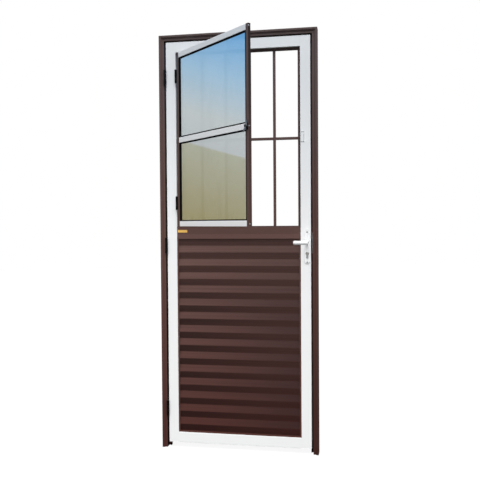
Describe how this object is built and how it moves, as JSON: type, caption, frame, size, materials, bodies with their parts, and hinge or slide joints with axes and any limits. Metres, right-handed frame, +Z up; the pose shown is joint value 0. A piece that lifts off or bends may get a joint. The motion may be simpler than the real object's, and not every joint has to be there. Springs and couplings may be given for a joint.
{
  "type": "aluminium entry door with frame",
  "caption": "Hinged aluminium entry door in its frame, with a ribbed lower panel, a barred opening and a glazed vent sash that swings open, lever handles and a mortise lock.",
  "frame": {"origin": "on the floor line midway between the jambs, in the plane of the frame's room-side face", "axes": "+X to the right as seen from the room, +Y from the room to the outside, +Z up"},
  "size_m": [0.8, 0.5419, 2.1],
  "materials": {
    "brown_coat": "satin brown powder coat",
    "white_coat": "satin white powder coat",
    "black_coat": "satin black coat",
    "seal_rubber": "matt black",
    "brown_rubber": "matt brown",
    "pane_glass": "clear float glass",
    "bare_aluminium": "mill finish",
    "lock_steel": "brushed, plated",
    "lock_brass": "machined"
  },
  "bodies": {
    "frame": {"frame_head": "brown_coat", "hinge_jamb": "brown_coat", "lock_jamb": "brown_coat", "frame_seals": "seal_rubber", "corner_cleats": "bare_aluminium", "strike_plate": "lock_steel", "door_hinge_pins": "black_coat", "bottom_hinge_frame_flap": "black_coat", "middle_hinge_frame_flap": "black_coat", "top_hinge_frame_flap": "black_coat"},
    "leaf": {"hinge_stile": "white_coat", "lock_stile": "white_coat", "top_rail": "white_coat", "mid_rail": "brown_coat", "bottom_rail": "white_coat", "panel_board_1": "brown_coat", "panel_board_2": "brown_coat", "panel_board_3": "brown_coat", "panel_board_4": "brown_coat", "panel_board_5": "brown_coat", "hinge_side_channel": "brown_coat", "lock_side_channel": "brown_coat", "bottom_channel": "brown_coat", "grille_frame": "brown_coat", "grille_uprights": "brown_coat", "grille_cross_bars": "brown_coat", "window_seal": "brown_rubber", "bottom_hinge_leaf_flap": "black_coat", "middle_hinge_leaf_flap": "black_coat", "top_hinge_leaf_flap": "black_coat", "lower_sash_hinge_leaf_flap": "black_coat", "upper_sash_hinge_leaf_flap": "black_coat", "sash_hinge_pins": "black_coat", "lock_case": "lock_steel", "lock_faceplate": "lock_steel", "inside_plate": "white_coat", "outside_plate": "white_coat", "cylinder_body": "lock_steel", "latch_keeper": "white_coat"},
    "sash": {"sash_hinge_stile": "brown_coat", "sash_lock_stile": "brown_coat", "sash_top_rail": "white_coat", "sash_mid_rail": "white_coat", "sash_bottom_rail": "white_coat", "upper_glass": "pane_glass", "lower_glass": "pane_glass", "upper_gasket": "seal_rubber", "lower_gasket": "seal_rubber", "lower_sash_hinge_sash_flap": "black_coat", "upper_sash_hinge_sash_flap": "black_coat", "latch_base": "black_coat"},
    "sash_latch": {"latch_lever": "lock_steel"},
    "lever_set": {"inside_lever": "white_coat", "outside_lever": "white_coat", "lever_spindle": "lock_steel", "lock_follower": "lock_brass"},
    "latch_bolt": {"latch_bolt": "lock_brass"},
    "dead_bolt": {"dead_bolt": "lock_brass"},
    "key_rotor": {"key_plugs": "lock_brass", "cylinder_cam": "lock_steel"}
  },
  "joints": [
    {"name": "leaf_swing", "type": "hinge", "parent": "frame", "child": "leaf", "pos_m": [-0.3695, 0.001, 1], "axis": [0, 0, -1], "range_deg": [0, 110]},
    {"name": "sash_swing", "type": "hinge", "parent": "leaf", "child": "sash", "pos_m": [-0.31325, 0, 1.57], "axis": [0, 0, -1], "range_deg": [-45, 65]},
    {"name": "sash_latch_turn", "type": "hinge", "parent": "sash", "child": "sash_latch", "pos_m": [0.12215, -0.4354, 1.569], "axis": [0.7071, 0.7071, 0], "range_deg": [0, 90]},
    {"name": "lever_turn", "type": "hinge", "parent": "leaf", "child": "lever_set", "pos_m": [0.347, 0.022, 1.051], "axis": [0, -1, 0], "range_deg": [0, 40], "stiffness_Nm_per_rad": 1.2, "springref_deg": -14.32},
    {"name": "latch_slide", "type": "slide", "parent": "leaf", "child": "latch_bolt", "axis": [1, 0, 0], "range_m": [-0.013, 0]},
    {"name": "key_turn", "type": "hinge", "parent": "leaf", "child": "key_rotor", "pos_m": [0.347, 0.022, 0.997], "axis": [0, 1, 0], "range_deg": [0, 360]},
    {"name": "dead_bolt_slide", "type": "slide", "parent": "leaf", "child": "dead_bolt", "axis": [1, 0, 0], "range_m": [0, 0.022]}
  ],
  "couplings": [
    {"joint": "latch_slide", "follows": "lever_turn", "m_per_rad": -0.0186},
    {"joint": "dead_bolt_slide", "follows": "key_turn", "m_per_rad": 0.003183}
  ]
}
